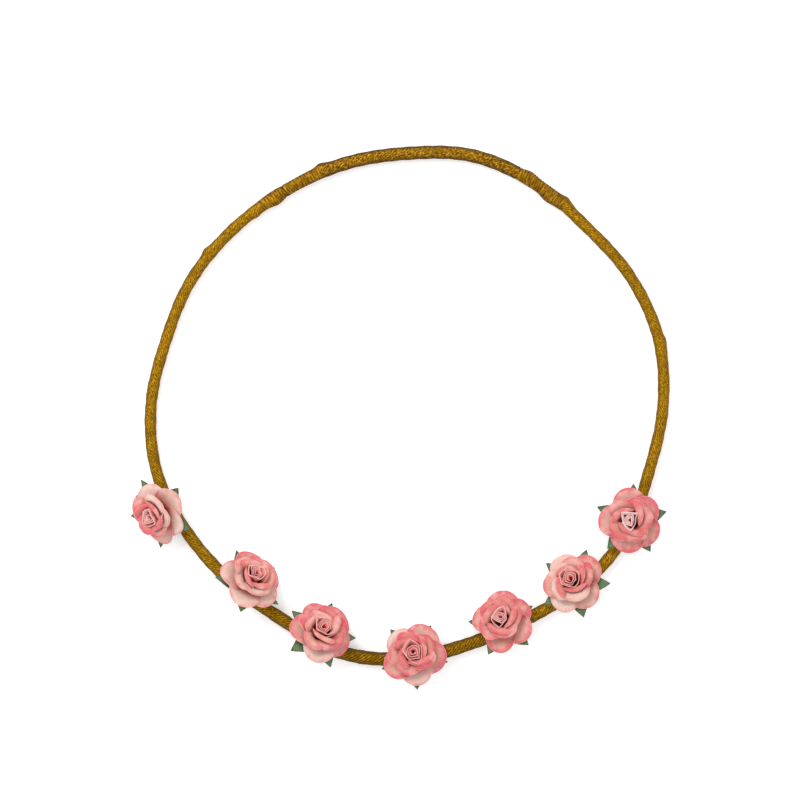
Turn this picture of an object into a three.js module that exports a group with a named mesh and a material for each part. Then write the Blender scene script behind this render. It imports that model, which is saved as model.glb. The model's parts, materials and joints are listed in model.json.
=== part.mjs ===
// A flower crown: a thread-covered cord closed at the back by a short elastic,
// with seven small paper roses whose wire stems are coiled round the cord.
// Millimetres, +Z up. The crown lies flat, roses up, elastic towards +Y.
// The origin is the centre of the crown's outline, on the surface it lies on.

import * as THREE from "three";

// Driving dimensions -------------------------------------------------------

const LOOP_RADIUS = 82; // centre of the loop to the cord's centre line
// How far the soft loop stands off a true circle, every 15 degrees from +X.
const LOOP_BULGE = [
  1.0, 2.4, 1.7, 0.2, 1.3, 1.9, -0.1, -0.9, -1.8, -1.6, -1.0, -1.0,
  1.0, 1.9, 0.2, -1.3, -1.8, 0.7, -0.1, -2.3, -2.7, -0.7, 0.2, -0.7,
];

const CORE_RADIUS = 0.8; // cotton core and elastic core
const SLEEVE_RADIUS = 1.9; // outside of the cord's thread cover
const ELASTIC_RADIUS = 2.05; // outside of the elastic's thread cover
const ELASTIC_MIDDLE = 87.5; // where the elastic is round the loop, in degrees
const ELASTIC_LENGTH = 64.4; // between the splices

const LEFT_SPLICE_LENGTH = 23.6;
const RIGHT_SPLICE_LENGTH = 18.6;
const BINDING_WALL = 0.45; // of the thread bound round a splice
const LAP_RUN = 6; // length over which a core moves aside in a splice

const FLEX_GAP = 1.4; // between the two halves of the cord, where it flexes

const STEM_WIRE_RADIUS = 0.35;
const COIL_TURNS = 3;
const COIL_PITCH = 1.25;
const COIL_GAP = 0.26; // between the coil and the cord's cover
const STEM_NECK = 1.75; // bare wire between the coil and the calyx

const CALYX_THICKNESS = 0.5;
const SEPAL_TIP_RADIUS = 11.4;
const SEPAL_NOTCH_RADIUS = 4.6;
const SEPAL_RISE = 0.22; // how much the sepals rise for each mm outwards
const CALYX_FLAT_RADIUS = 2; // the calyx is flat inside this radius
const OUTER_PETAL_RADIUS = 10;
const WHORL_SPACING = 2.2; // between the rims of the whorls
const PETAL_WALL = 0.5;
const PETAL_HEIGHT = 8.6; // from the outer whorl's base to the top of the rose

const CLEARANCE = 0.3; // between pieces that touch

// Each rose: how far along the cord it is from the front of the loop, in mm,
// how far it leans outwards and how far its calyx is turned on its stem, in degrees.
const ROSES = [
  { along: -95.8, lean: 37, turn: 48 },
  { along: -59.7, lean: -40, turn: 34 },
  { along: -30.3, lean: -29, turn: -4 },
  { along: 2.3, lean: -12, turn: -12 },
  { along: 34, lean: -23, turn: 31 },
  { along: 61.7, lean: -22, turn: 71 },
  { along: 90.1, lean: -8, turn: 14 },
];
const FLEX_AFTER = 4; // the cord flexes midway between this rose and the next

const CORD_STEP = 5.5; // length of one straight facet of the cord
const CORE_STEP = 4.5;
const CORD_SIDES = 8;

const DEG = Math.PI / 180;

// Finishes -----------------------------------------------------------------

function finish(colour, roughness, metalness = 0) {
  return new THREE.MeshStandardMaterial({ color: colour, roughness, metalness });
}

const GOLD_THREAD = finish(0xa57a1c, 0.5, 0.25);
const GOLD_BINDING = finish(0x8f6814, 0.55, 0.25);
const COTTON = finish(0xd8ccb0, 0.9);
const RUBBER = finish(0xe6dfce, 0.7);
const STEM_PAPER = finish(0x2f4f36, 0.85);
const SEPAL_PAPER = finish(0x3f6b48, 0.85);
const PETAL_PAPER = finish(0xf0cfc2, 0.9);
const PETAL_PAPER_PINK = finish(0xf0a09c, 0.9);
const BUD_PAPER = finish(0xe0606a, 0.9);

const crown = new THREE.Group();

function addPiece(parent, name, geometry, material) {
  const piece = new THREE.Mesh(geometry, material);
  piece.name = name;
  parent.add(piece);
  return piece;
}

// The loop -----------------------------------------------------------------

const BULGE_STEP = 360 / LOOP_BULGE.length;

// Distance from the loop's centre to the cord at an angle in degrees: a closed
// Catmull-Rom curve through the bulges.
function loopRadius(angle) {
  const place = angle / BULGE_STEP;
  const first = Math.floor(place);
  const t = place - first;
  const count = LOOP_BULGE.length;
  const bulge = (offset) => LOOP_BULGE[(((first + offset) % count) + count) % count];
  const slopeA = (bulge(1) - bulge(-1)) / 2;
  const slopeB = (bulge(2) - bulge(0)) / 2;
  const a = bulge(0);
  const b = bulge(1);
  const smooth = (2 * t ** 3 - 3 * t ** 2 + 1) * a + (t ** 3 - 2 * t ** 2 + t) * slopeA
    + (-2 * t ** 3 + 3 * t ** 2) * b + (t ** 3 - t ** 2) * slopeB;
  return LOOP_RADIUS + smooth;
}

function loopPoint(angle, offset = 0) {
  const radius = loopRadius(angle) + offset;
  return new THREE.Vector3(radius * Math.cos(angle * DEG), radius * Math.sin(angle * DEG), 0);
}

// Unit vector along the cord, anticlockwise seen from above.
function loopTangent(angle) {
  const small = 0.5;
  return loopPoint(angle + small).sub(loopPoint(angle - small)).normalize();
}

// Angle that a length of cord takes up on the loop.
function arcAngle(length) {
  return length / LOOP_RADIUS / DEG;
}

// A stretch of the loop, as a curve of its own. offset(angle) moves it sideways.
class LoopStretch extends THREE.Curve {
  constructor(from, to, offset = () => 0) {
    super();
    this.from = from;
    this.to = to;
    this.offset = offset;
  }

  getPoint(t, target = new THREE.Vector3()) {
    const angle = this.from + (this.to - this.from) * t;
    return target.copy(loopPoint(angle, this.offset(angle)));
  }

  steps(length) {
    return Math.max(2, Math.round(((this.to - this.from) * DEG * LOOP_RADIUS) / length));
  }
}

// A regular section with a flat facet at the bottom, of the given outside size.
function section(radius, sides, bore = 0) {
  const ring = (size) => {
    const points = [];
    for (let i = 0; i < sides; i += 1) {
      const a = ((i + 0.5) * 2 * Math.PI) / sides;
      points.push(new THREE.Vector2(size * Math.cos(a), size * Math.sin(a)));
    }
    return points;
  };
  const shape = new THREE.Shape(ring(radius));
  if (bore > 0) {
    shape.holes.push(new THREE.Path(ring(bore)));
  }
  return shape;
}

function sweep(shape, path, steps) {
  return new THREE.ExtrudeGeometry(shape, { steps, bevelEnabled: false, extrudePath: path });
}

function loopTube(stretch, radius, bore = 0, step = CORD_STEP, sides = CORD_SIDES) {
  return sweep(section(radius, sides, bore), stretch, stretch.steps(step));
}

// The band -----------------------------------------------------------------

const FRONT = 270; // the front of the loop, in degrees
const CLEAR_ANGLE = arcAngle(CLEARANCE);
const HALF_GAP_ANGLE = arcAngle(FLEX_GAP / 2);
const FLEX_ANGLE = FRONT + arcAngle((ROSES[FLEX_AFTER - 1].along + ROSES[FLEX_AFTER].along) / 2);

// The splices, from one mouth to the other in degrees.
const LEFT_SPLICE = { from: ELASTIC_MIDDLE + arcAngle(ELASTIC_LENGTH / 2) };
LEFT_SPLICE.to = LEFT_SPLICE.from + arcAngle(LEFT_SPLICE_LENGTH);
const RIGHT_SPLICE = { to: ELASTIC_MIDDLE - arcAngle(ELASTIC_LENGTH / 2) };
RIGHT_SPLICE.from = RIGHT_SPLICE.to - arcAngle(RIGHT_SPLICE_LENGTH);

// In a splice the two cores lie side by side, the cord's on the outside of the
// loop and the elastic's on the inside. Each comes in along the middle and moves
// aside over its first LAP_RUN, and the other one ends before it does.
const LAP_OFFSET = CORE_RADIUS + 0.6 * CLEARANCE; // from the middle of the lap
const BINDING_BORE = LAP_OFFSET + CORE_RADIUS + CLEARANCE;
const SLEEVE_BORE = CORE_RADIUS + CLEARANCE;

function lapShift(angleInside) {
  const depth = angleInside * DEG * LOOP_RADIUS;
  return LAP_OFFSET * THREE.MathUtils.smoothstep(depth, 0, LAP_RUN);
}

function buildBand() {
  const frontEnd = FLEX_ANGLE - HALF_GAP_ANGLE; // of the left half
  const frontStart = FLEX_ANGLE + HALF_GAP_ANGLE; // of the right half
  const rightMouth = RIGHT_SPLICE.from + 360;
  const lapEnd = arcAngle(LAP_RUN + CLEARANCE);

  const sleeves = {
    cord_sleeve_left: [LEFT_SPLICE.to + CLEAR_ANGLE, frontEnd, SLEEVE_RADIUS],
    cord_sleeve_right: [frontStart, rightMouth - CLEAR_ANGLE, SLEEVE_RADIUS],
    elastic_sleeve: [RIGHT_SPLICE.to + CLEAR_ANGLE, LEFT_SPLICE.from - CLEAR_ANGLE, ELASTIC_RADIUS],
  };
  for (const [name, [from, to, radius]] of Object.entries(sleeves)) {
    addPiece(crown, name, loopTube(new LoopStretch(from, to), radius, SLEEVE_BORE), GOLD_THREAD);
  }

  const leftCore = new LoopStretch(
    LEFT_SPLICE.from + lapEnd, frontEnd, (angle) => lapShift(LEFT_SPLICE.to - angle),
  );
  const rightCore = new LoopStretch(
    frontStart, RIGHT_SPLICE.to + 360 - lapEnd, (angle) => lapShift(angle - rightMouth),
  );
  const elasticCore = new LoopStretch(
    RIGHT_SPLICE.from + lapEnd, LEFT_SPLICE.to - lapEnd,
    (angle) => -lapShift(Math.max(RIGHT_SPLICE.to - angle, angle - LEFT_SPLICE.from)),
  );
  addPiece(crown, "cord_core_left", loopTube(leftCore, CORE_RADIUS, 0, CORE_STEP, 6), COTTON);
  addPiece(crown, "cord_core_right", loopTube(rightCore, CORE_RADIUS, 0, CORE_STEP, 6), COTTON);
  addPiece(crown, "elastic_core", loopTube(elasticCore, CORE_RADIUS, 0, CORE_STEP, 6), RUBBER);

  const bindings = { splice_binding_left: LEFT_SPLICE, splice_binding_right: RIGHT_SPLICE };
  for (const [name, splice] of Object.entries(bindings)) {
    const stretch = new LoopStretch(splice.from, splice.to);
    const tube = loopTube(stretch, BINDING_BORE + BINDING_WALL, BINDING_BORE, CORD_STEP, 12);
    addPiece(crown, name, tube, GOLD_BINDING);
  }
}

// The roses ----------------------------------------------------------------
// A rose's own frame has its origin on the cord's centre line, X along the cord
// and Z up the stem.

const COIL_RADIUS = SLEEVE_RADIUS + COIL_GAP + STEM_WIRE_RADIUS; // of the wire's centre line
const STEM_HOLE_RADIUS = STEM_WIRE_RADIUS + CLEARANCE;
const CALYX_HEIGHT = COIL_RADIUS + STEM_WIRE_RADIUS + STEM_NECK;
const PETAL_BASE = CALYX_HEIGHT + CALYX_THICKNESS + CLEARANCE;
const NEST_STEP = PETAL_WALL + CLEARANCE; // height that each nested whorl adds
const BUD_BASE = PETAL_BASE + 3 * NEST_STEP;
const BUD_RADIUS = OUTER_PETAL_RADIUS - 3 * WHORL_SPACING - 2 * CLEARANCE;
const ROSE_TOP = PETAL_BASE + PETAL_HEIGHT;

// The stem wire: COIL_TURNS turns round the cord, then up the middle of the rose.
function stemCurve() {
  const points = [];
  const perTurn = 8;
  const last = COIL_TURNS * perTurn;
  const coilEnd = (COIL_TURNS * COIL_PITCH) / 2;
  for (let i = 0; i <= last; i += 1) {
    const a = (i / perTurn) * 2 * Math.PI + Math.PI / 2;
    const x = (i / perTurn) * COIL_PITCH - coilEnd;
    points.push(new THREE.Vector3(x, COIL_RADIUS * Math.cos(a), COIL_RADIUS * Math.sin(a)));
  }
  points.push(new THREE.Vector3(coilEnd * 0.55, -0.75, COIL_RADIUS + 0.75));
  points.push(new THREE.Vector3(0, 0, CALYX_HEIGHT - 0.4));
  points.push(new THREE.Vector3(0, 0, CALYX_HEIGHT + 1.2));
  points.push(new THREE.Vector3(0, 0, BUD_BASE - CLEARANCE));
  return new THREE.CatmullRomCurve3(points, false, "catmullrom", 0.5);
}

function stemGeometry() {
  const steps = COIL_TURNS * 9 + 7;
  return sweep(section(STEM_WIRE_RADIUS, 5), stemCurve(), steps);
}

// Five pointed sepals, die-cut in one piece, that cup the flower a little.
const SEPALS = 5;
// Radius of the calyx, as a share of its tips', at even steps from one tip to the next.
const SEPAL_OUTLINE = [1, 0.84, 0.62, SEPAL_NOTCH_RADIUS / SEPAL_TIP_RADIUS, 0.62, 0.84];

function calyxGeometry() {
  const flat = CALYX_FLAT_RADIUS;
  const bottom = [STEM_HOLE_RADIUS, flat, SEPAL_TIP_RADIUS].map((r) => new THREE.Vector2(r, 0));
  const top = [...bottom].reverse().map(({ x }) => new THREE.Vector2(x, CALYX_THICKNESS));
  const steps = SEPALS * SEPAL_OUTLINE.length;
  const lathe = new THREE.LatheGeometry([...bottom, ...top, bottom[0]], steps);
  lathe.rotateX(Math.PI / 2);
  lathe.rotateZ(Math.PI / 2);
  const place = lathe.attributes.position;
  for (let i = 0; i < place.count; i += 1) {
    const x = place.getX(i);
    const y = place.getY(i);
    const size = Math.hypot(x, y);
    const step = Math.round(((Math.atan2(y, x) / (2 * Math.PI)) + 1) * steps);
    const tip = SEPAL_OUTLINE[step % SEPAL_OUTLINE.length] * SEPAL_TIP_RADIUS;
    const share = Math.max(size - flat, 0) / (SEPAL_TIP_RADIUS - flat);
    const radius = size + share * (tip - SEPAL_TIP_RADIUS);
    place.setXYZ(
      i, (x * radius) / size, (y * radius) / size,
      CALYX_HEIGHT + place.getZ(i) + SEPAL_RISE * share * (tip - flat),
    );
  }
  return lathe;
}

// One whorl of petals as a thin cup with a hole for the stem: it rises from
// base to rim along a quarter of an ellipse and its rim is lobed.
const PETALS_IN_A_WHORL = 5;
const PETAL_LOBE_DEPTH = 0.12; // share of the radius

function whorlGeometry(base, rim, radius, lobes, facets) {
  const profile = [];
  const points = 3;
  const floorRadius = STEM_HOLE_RADIUS;
  for (let i = 0; i <= points; i += 1) {
    const a = (i / points) * 90 * DEG;
    profile.push([floorRadius + (radius - floorRadius) * Math.sin(a), rim - (rim - base) * Math.cos(a)]);
  }
  const inner = profile.map(([r, z], i) => [
    i === 0 ? r : r - PETAL_WALL * Math.sin((i / points) * 90 * DEG),
    i === points ? z : z + PETAL_WALL,
  ]);
  const outline = [...profile, ...inner.reverse()];
  outline.push(outline[0]);
  const lathe = new THREE.LatheGeometry(outline.map(([r, z]) => new THREE.Vector2(r, z)), facets);
  lathe.rotateX(Math.PI / 2);
  const place = lathe.attributes.position;
  for (let i = 0; i < place.count; i += 1) {
    const x = place.getX(i);
    const y = place.getY(i);
    const size = Math.hypot(x, y);
    const share = THREE.MathUtils.clamp((size - floorRadius) / (radius - floorRadius), 0, 1);
    const swell = 1 - PETAL_LOBE_DEPTH * share * share * (0.5 - 0.5 * Math.cos(lobes * Math.atan2(y, x)));
    place.setX(i, x * swell);
    place.setY(i, y * swell);
  }
  return lathe;
}

function budGeometry() {
  const height = ROSE_TOP - CLEARANCE - BUD_BASE;
  const outline = [[0, 0], [0.55, 0.02], [0.95, 0.3], [1, 0.62], [0.72, 0.92], [0, 1]];
  const points = outline.map(([r, z]) => new THREE.Vector2(r * BUD_RADIUS, BUD_BASE + z * height));
  const lathe = new THREE.LatheGeometry(points, 10);
  lathe.rotateX(Math.PI / 2);
  return lathe;
}

const WHORLS = [
  { name: "outer_petals", rim: 0.62, facets: 15, paper: PETAL_PAPER },
  { name: "middle_petals", rim: 0.85, facets: 10, paper: PETAL_PAPER_PINK },
  { name: "inner_petals", rim: 1, facets: 10, paper: PETAL_PAPER_PINK },
];

function buildRose(number, { along: place, lean, turn }) {
  const rose = new THREE.Group();
  const angle = FRONT + arcAngle(place);
  const along = loopTangent(angle);
  const up = new THREE.Vector3(0, 0, 1);
  const inward = up.clone().cross(along);
  const frame = new THREE.Matrix4().makeBasis(along, inward, up);
  const tilt = new THREE.Matrix4().makeRotationAxis(along, lean * DEG);
  rose.quaternion.setFromRotationMatrix(tilt.multiply(frame));
  rose.position.copy(loopPoint(angle));
  crown.add(rose);

  addPiece(rose, `rose_${number}_stem_wire`, stemGeometry(), STEM_PAPER);
  // The flower is turned on its stem, so its turn is measured from the crown's +X.
  const head = new THREE.Group();
  head.rotation.z = turn * DEG - Math.atan2(along.y, along.x);
  rose.add(head);
  addPiece(head, `rose_${number}_calyx`, calyxGeometry(), SEPAL_PAPER);
  WHORLS.forEach(({ name, rim, facets, paper }, i) => {
    const base = PETAL_BASE + i * NEST_STEP;
    const top = PETAL_BASE + (ROSE_TOP - PETAL_BASE) * rim;
    const radius = OUTER_PETAL_RADIUS - i * WHORL_SPACING;
    const geometry = whorlGeometry(base, top, radius, PETALS_IN_A_WHORL, facets);
    const whorl = addPiece(head, `rose_${number}_${name}`, geometry, paper);
    whorl.rotation.z = (36 + i * 36) * DEG;
  });
  addPiece(head, `rose_${number}_bud`, budGeometry(), BUD_PAPER);
}

// The crown ----------------------------------------------------------------

buildBand();
ROSES.forEach((rose, i) => buildRose(i + 1, rose));

// The origin goes to the middle of the outline, on the surface underneath.
const bounds = new THREE.Box3().setFromObject(crown, true);
const middle = bounds.getCenter(new THREE.Vector3());
crown.position.set(-middle.x, -middle.y, -bounds.min.z);

export default crown;
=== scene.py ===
"""A flower crown: a gold thread-covered cord with an elastic back and seven paper roses.

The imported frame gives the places, the bodies and the joints. Shapes are worked out in
millimetres in each piece's own frame and written in metres.
"""

from __future__ import annotations

import json
import logging
import math
from dataclasses import dataclass, field
from enum import Enum

import bpy
import numpy as np
from mathutils import Matrix, Vector, noise

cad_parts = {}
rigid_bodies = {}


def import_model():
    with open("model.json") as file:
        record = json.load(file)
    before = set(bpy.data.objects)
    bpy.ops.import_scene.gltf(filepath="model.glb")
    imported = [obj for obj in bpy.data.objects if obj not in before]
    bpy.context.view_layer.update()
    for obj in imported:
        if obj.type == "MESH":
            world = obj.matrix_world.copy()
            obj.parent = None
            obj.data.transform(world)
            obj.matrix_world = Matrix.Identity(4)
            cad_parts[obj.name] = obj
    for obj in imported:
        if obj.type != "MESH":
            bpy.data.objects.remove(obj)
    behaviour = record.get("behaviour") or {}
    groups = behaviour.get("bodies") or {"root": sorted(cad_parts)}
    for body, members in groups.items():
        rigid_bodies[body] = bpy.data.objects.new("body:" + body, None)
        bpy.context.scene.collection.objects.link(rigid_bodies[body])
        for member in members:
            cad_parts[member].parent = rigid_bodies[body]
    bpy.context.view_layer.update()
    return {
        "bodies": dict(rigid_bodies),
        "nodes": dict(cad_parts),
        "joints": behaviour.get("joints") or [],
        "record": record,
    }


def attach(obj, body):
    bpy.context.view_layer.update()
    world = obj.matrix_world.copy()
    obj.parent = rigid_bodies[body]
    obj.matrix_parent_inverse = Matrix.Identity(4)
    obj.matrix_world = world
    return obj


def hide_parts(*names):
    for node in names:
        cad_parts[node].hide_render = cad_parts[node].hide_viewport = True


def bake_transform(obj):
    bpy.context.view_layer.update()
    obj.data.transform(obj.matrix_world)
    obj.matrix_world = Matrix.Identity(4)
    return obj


MM = 0.001
TAU = 2 * math.pi
TUBE_SIDES = 48  # points round a thread-covered tube
PETAL_GRID = 27  # points across a petal
SEPAL_GRID = 19
SLEEVE_RADIUS = 1.9  # of the cord, where a stem is coiled round it

Array = np.ndarray
Marks = dict[str, Array]
Material = bpy.types.Material
Finishes = dict[str, Material]
Piece = bpy.types.Object
Socket = bpy.types.NodeSocket

log = logging.getLogger("flower_crown")


# Small helpers ---------------------------------------------------------------


def smooth(value: Array | float, low: float, high: float) -> Array | float:
    """Smooth step from 0 at low to 1 at high.

    Args:
        value: What is stepped.
        low: Where the step starts.
        high: Where it ends.

    Returns:
        The stepped value, between 0 and 1.
    """
    t = np.clip((value - low) / (high - low), 0.0, 1.0)
    return t * t * (3 - 2 * t)


def colour(code: str) -> tuple[float, float, float, float]:
    """Linear colour of a six-digit screen colour such as "f0858a".

    Args:
        code: The colour, two digits each for red, green and blue.

    Returns:
        Red, green, blue and alpha, between 0 and 1.
    """
    parts = [int(code[i : i + 2], 16) / 255 for i in (0, 2, 4)]
    linear = [c / 12.92 if c <= 0.04045 else ((c + 0.055) / 1.055) ** 2.4 for c in parts]
    return (linear[0], linear[1], linear[2], 1.0)


def ripple(points: Array, size: float, seed: float) -> Array:
    """Soft random relief over points.

    Args:
        points: Places in millimetres, in an array whose last axis is 3.
        size: Width of one ripple in millimetres.
        seed: Moves the pattern, so that no two pieces share one.

    Returns:
        One value from about -1 to 1 for each point.
    """
    flat = points.reshape(-1, 3) / size + seed
    values = [noise.noise(Vector(p)) for p in flat]
    return np.array(values).reshape(points.shape[:-1])


def xyz(x: Array | float, y: Array | float, z: Array | float) -> Array:
    """Three values, some of them arrays, as an array whose last axis is 3."""
    return np.stack(np.broadcast_arrays(x, y, z), axis=-1)


def spin(degrees: float) -> Array:
    """What points, one to a row, are multiplied by to turn them about Z.

    Args:
        degrees: How far they turn.

    Returns:
        A 3 by 3 array.
    """
    turn = math.radians(degrees)
    across, along = math.cos(turn), math.sin(turn)
    return np.array([[across, along, 0], [-along, across, 0], [0, 0, 1]])


def chance(seed: float, kind: int) -> float:
    """A fixed number between -1 and 1 that looks random, one for each seed and kind."""
    return 2 * (math.sin(seed * 12.99 + kind * 78.23) * 43758.5 % 1) - 1


class Draft:
    """Points, faces and marks of one piece, in millimetres, before it becomes a mesh."""

    def __init__(self) -> None:
        """Starts with nothing in it."""
        self.points: list[Array] = []
        self.faces: list[tuple[int, ...]] = []
        self.marks: dict[str, list[Array]] = {}
        self.count = 0

    def add_grid(
        self,
        points: Array,
        marks: Marks | None = None,
        closed: bool = False,
        capped: bool = False,
    ) -> None:
        """Adds a surface of rows and columns.

        Args:
            points: Array of rows by columns by 3.
            marks: Named vectors for each point, with the same shape as points.
            closed: Whether the last column joins the first.
            capped: Whether the first and last rows are closed with a face.
        """
        rows, columns = points.shape[:2]
        start = self.count
        last = columns if closed else columns - 1
        for i in range(rows - 1):
            for j in range(last):
                k = (j + 1) % columns
                a = start + i * columns
                b = a + columns
                self.faces.append((a + j, a + k, b + k, b + j))
        if capped:
            self.faces.append(tuple(range(start, start + columns))[::-1])
            self.faces.append(tuple(range(start + (rows - 1) * columns, start + rows * columns)))
        self.points.append(points.reshape(-1, 3))
        for name, values in (marks or {}).items():
            self.marks.setdefault(name, []).append(values.reshape(-1, 3))
        self.count += rows * columns

    def build(self, name: str, place: Matrix) -> Piece:
        """Makes the piece.

        Args:
            name: Its name.
            place: Turns and moves the draft's own frame, its move in metres.

        Returns:
            The new object, at the origin, with its place in its mesh.
        """
        points = np.concatenate(self.points) * MM
        turn = np.array(place.to_3x3())
        points = points @ turn.T + np.array(place.translation)
        mesh = bpy.data.meshes.new(name)
        mesh.from_pydata(points.tolist(), [], self.faces)
        for key, parts in self.marks.items():
            layer = mesh.attributes.new(key, "FLOAT_VECTOR", "POINT")
            layer.data.foreach_set("vector", np.concatenate(parts).astype(np.float32).ravel())
        mesh.polygons.foreach_set("use_smooth", [True] * len(mesh.polygons))
        mesh.update()
        piece = bpy.data.objects.new(name, mesh)
        bpy.context.scene.collection.objects.link(piece)
        return piece


def thicken(piece: Piece, thickness: float) -> None:
    """Gives a sheet its thickness, in millimetres, on both sides of it.

    Args:
        piece: The sheet.
        thickness: In millimetres.
    """
    wall = piece.modifiers.new("thickness", "SOLIDIFY")
    wall.thickness = thickness * MM
    wall.offset = 0.0
    wall.use_even_offset = False


def laid_tube(
    path: Array, radius: Array, sides: int, up: Array, extra_shade: Array | float = 0.0
) -> Draft:
    """Drafts a closed round tube with its "lay" mark: along in mm, round in turns, extra shade.

    Args:
        path: Array of rows by 3.
        radius: Array of rows, or rows by sides, of the radius at each point.
        sides: Number of points round it.
        up: The direction that the tube's quarter turn points to.
        extra_shade: How much extra painted shade the thread's finish lays at each row, from 0 to 1.

    Returns:
        The draft.
    """
    ahead = np.gradient(path, axis=0)
    ahead /= np.linalg.norm(ahead, axis=1, keepdims=True)
    side = np.cross(ahead, up)
    side /= np.linalg.norm(side, axis=1, keepdims=True)
    top = np.cross(side, ahead)
    turn = np.arange(sides) * TAU / sides
    size = radius if radius.ndim == 2 else radius[:, None]
    out = side[:, None, :] * np.cos(turn)[None, :, None]
    out = out + top[:, None, :] * np.sin(turn)[None, :, None]
    along = np.concatenate([[0], np.cumsum(np.linalg.norm(np.diff(path, axis=0), axis=1))])
    shade = np.broadcast_to(extra_shade, along.shape)[:, None]
    lay = xyz(along[:, None], np.arange(sides) / sides, shade)
    draft = Draft()
    draft.add_grid(path[:, None, :] + out * size[:, :, None], {"lay": lay}, closed=True, capped=True)
    return draft


def dress(piece: Piece, finish: Material) -> None:
    """Gives a piece its material.

    Args:
        piece: The piece.
        finish: Its material.
    """
    piece.data.materials.clear()
    piece.data.materials.append(finish)


# Materials -------------------------------------------------------------------


class Sketch:
    """A material's node tree, with short calls for the nodes that the finishes use."""

    def __init__(self, name: str) -> None:
        """Makes a material of that name with a Principled shader.

        Args:
            name: The material's name.
        """
        self.material = bpy.data.materials.new(name)
        self.material.use_nodes = True
        self.nodes = self.material.node_tree.nodes
        self.links = self.material.node_tree.links
        self.shader = self.nodes["Principled BSDF"]

    def link(self, source: Socket | float | str, target: Socket) -> None:
        """Links a socket to another, or sets the target's own value or colour.

        Args:
            source: A socket, a number or the code of a colour.
            target: The input that takes it.
        """
        if isinstance(source, Socket):
            self.links.new(source, target)
        else:
            target.default_value = colour(source) if isinstance(source, str) else source

    def mark(self, name: str) -> tuple[Socket, ...]:
        """The three parts of a mark that the mesh carries.

        Args:
            name: The mark's name.

        Returns:
            Its three sockets.
        """
        node = self.nodes.new("ShaderNodeAttribute")
        node.attribute_name = name
        split = self.nodes.new("ShaderNodeSeparateXYZ")
        self.links.new(node.outputs["Vector"], split.inputs[0])
        return tuple(split.outputs)

    def vector(self, x: object, y: object, z: object) -> Socket:
        """Three values as one vector.

        Args:
            x: The first.
            y: The second.
            z: The third.

        Returns:
            The vector's socket.
        """
        node = self.nodes.new("ShaderNodeCombineXYZ")
        for source, target in zip((x, y, z), node.inputs):
            self.link(source, target)
        return node.outputs[0]

    def place(self) -> Socket:
        """The point's place on the piece, in metres."""
        return self.nodes.new("ShaderNodeTexCoord").outputs["Object"]

    def math(self, kind: str, *values: object) -> Socket:
        """One sum of up to three values, such as math("MULTIPLY", a, 2.0).

        Args:
            kind: The operation.
            values: What it works on.

        Returns:
            The result's socket.
        """
        node = self.nodes.new("ShaderNodeMath")
        node.operation = kind
        for source, target in zip(values, node.inputs):
            self.link(source, target)
        return node.outputs[0]

    def step(
        self, value: object, low: float, high: float, start: float = 0.0, end: float = 1.0
    ) -> Socket:
        """A smooth step of value, from start at low to end at high.

        Args:
            value: What is stepped.
            low: Where the step starts.
            high: Where it ends.
            start: The result at low and below.
            end: The result at high and above.

        Returns:
            The result's socket.
        """
        node = self.nodes.new("ShaderNodeMapRange")
        node.interpolation_type = "SMOOTHSTEP"
        self.link(value, node.inputs["Value"])
        for key, number in (("From Min", low), ("From Max", high), ("To Min", start), ("To Max", end)):
            node.inputs[key].default_value = number
        return node.outputs["Result"]

    def noise(
        self, where: object, scale: float, detail: float = 3.0, roughness: float = 0.55
    ) -> Socket:
        """Noise between 0 and 1 at a place.

        Args:
            where: The place.
            scale: How fine it is.
            detail: How many finer layers it has.
            roughness: How strong they are.

        Returns:
            The noise's socket.
        """
        node = self.nodes.new("ShaderNodeTexNoise")
        self.link(where, node.inputs["Vector"])
        node.inputs["Scale"].default_value = scale
        node.inputs["Detail"].default_value = detail
        node.inputs["Roughness"].default_value = roughness
        return node.outputs["Fac"]

    def mix(self, amount: object, first: object, second: object) -> Socket:
        """Two colours mixed by amount.

        Args:
            amount: Share of the second colour.
            first: The colour at 0.
            second: The colour at 1.

        Returns:
            The mixed colour's socket.
        """
        node = self.nodes.new("ShaderNodeMix")
        node.data_type = "RGBA"
        self.link(amount, node.inputs["Factor"])
        self.link(first, next(s for s in node.inputs if s.identifier == "A_Color"))
        self.link(second, next(s for s in node.inputs if s.identifier == "B_Color"))
        return next(s for s in node.outputs if s.identifier == "Result_Color")

    def bump(self, height: object, distance: float, strength: float) -> None:
        """Raises the surface by height, distance in millimetres.

        Args:
            height: What raises it.
            distance: How far a height of 1 raises it.
            strength: Share of that which shows.
        """
        node = self.nodes.new("ShaderNodeBump")
        node.inputs["Strength"].default_value = strength
        node.inputs["Distance"].default_value = distance * MM
        self.link(height, node.inputs["Height"])
        self.links.new(node.outputs["Normal"], self.shader.inputs["Normal"])

    def finish(self, base: object, roughness: object, **fixed: float) -> Material:
        """Sets the shader and returns the material.

        Args:
            base: Colour socket of the surface.
            roughness: Roughness socket.
            fixed: Values set on the shader's own sockets, spaces written as underscores.

        Returns:
            The finished material.
        """
        self.link(base, self.shader.inputs["Base Color"])
        self.link(roughness, self.shader.inputs["Roughness"])
        for key, value in fixed.items():
            self.shader.inputs[key.replace("_", " ")].default_value = value
        return self.material


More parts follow.
